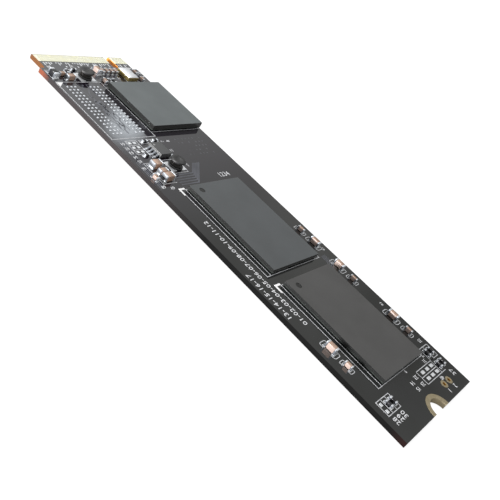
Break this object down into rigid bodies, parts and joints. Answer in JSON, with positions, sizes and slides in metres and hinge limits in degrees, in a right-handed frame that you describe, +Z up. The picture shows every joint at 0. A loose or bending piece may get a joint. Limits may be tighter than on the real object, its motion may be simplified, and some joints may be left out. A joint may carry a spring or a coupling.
{
  "type": "solid state drive card",
  "caption": "Long thin circuit card with black memory packages, small chip parts, an edge connector with a key slot and half a screw hole.",
  "frame": {"origin": "under the middle of the card, on the plane of its underside contacts", "axes": "+Z up out of the side that carries the parts, +Y along the card towards the edge connector, +X across it towards the key slot"},
  "size_m": [0.022, 0.08, 0.0022],
  "materials": {
    "solder_mask": "glossy black solder mask on glass and resin board",
    "gold": "thin hard gold plating",
    "tin": "bright tin plating",
    "solder": "reflowed solder",
    "moulding": "fine matt moulding compound",
    "package_board": "dark package board",
    "silicon": "polished silicon",
    "capacitor_ceramic": "tan fired ceramic",
    "dark_ceramic": "black coated ceramic",
    "ferrite": "dark pressed ferrite",
    "winding": "dark enamelled copper wire",
    "crystal_ceramic": "olive gold fired ceramic",
    "lid_metal": "white satin metal lid",
    "print_ink": "thick white printed ink"
  },
  "bodies": {
    "root": {"bottom_contacts": "gold", "bulk_capacitor_bodies": "capacitor_ceramic", "bulk_capacitor_ends": "tin", "chip_lands": "solder", "circuit_board": "solder_mask", "coil_cores": "ferrite", "coil_lands": "solder", "coil_windings": "winding", "controller_case": "moulding", "controller_die": "silicon", "controller_solder_balls": "solder", "controller_substrate": "package_board", "crystal_base": "crystal_ceramic", "crystal_lands": "solder", "crystal_lid": "lid_metal", "flash_a_case": "moulding", "flash_a_dies": "silicon", "flash_a_solder_balls": "solder", "flash_a_substrate": "package_board", "flash_b_case": "moulding", "flash_b_dies": "silicon", "flash_b_solder_balls": "solder", "flash_b_substrate": "package_board", "fuse_bodies": "dark_ceramic", "fuse_ends": "tin", "large_capacitor_bodies": "capacitor_ceramic", "large_capacitor_ends": "tin", "memory_lands": "solder", "resistor_bodies": "dark_ceramic", "resistor_ends": "tin", "screw_notch_plating": "gold", "small_capacitor_bodies": "capacitor_ceramic", "small_capacitor_ends": "tin", "spare_lands": "solder", "switch_body": "moulding", "switch_lands": "solder", "switch_legs": "tin", "test_point_lands": "gold", "top_contacts": "gold"}
  },
  "joints": []
}
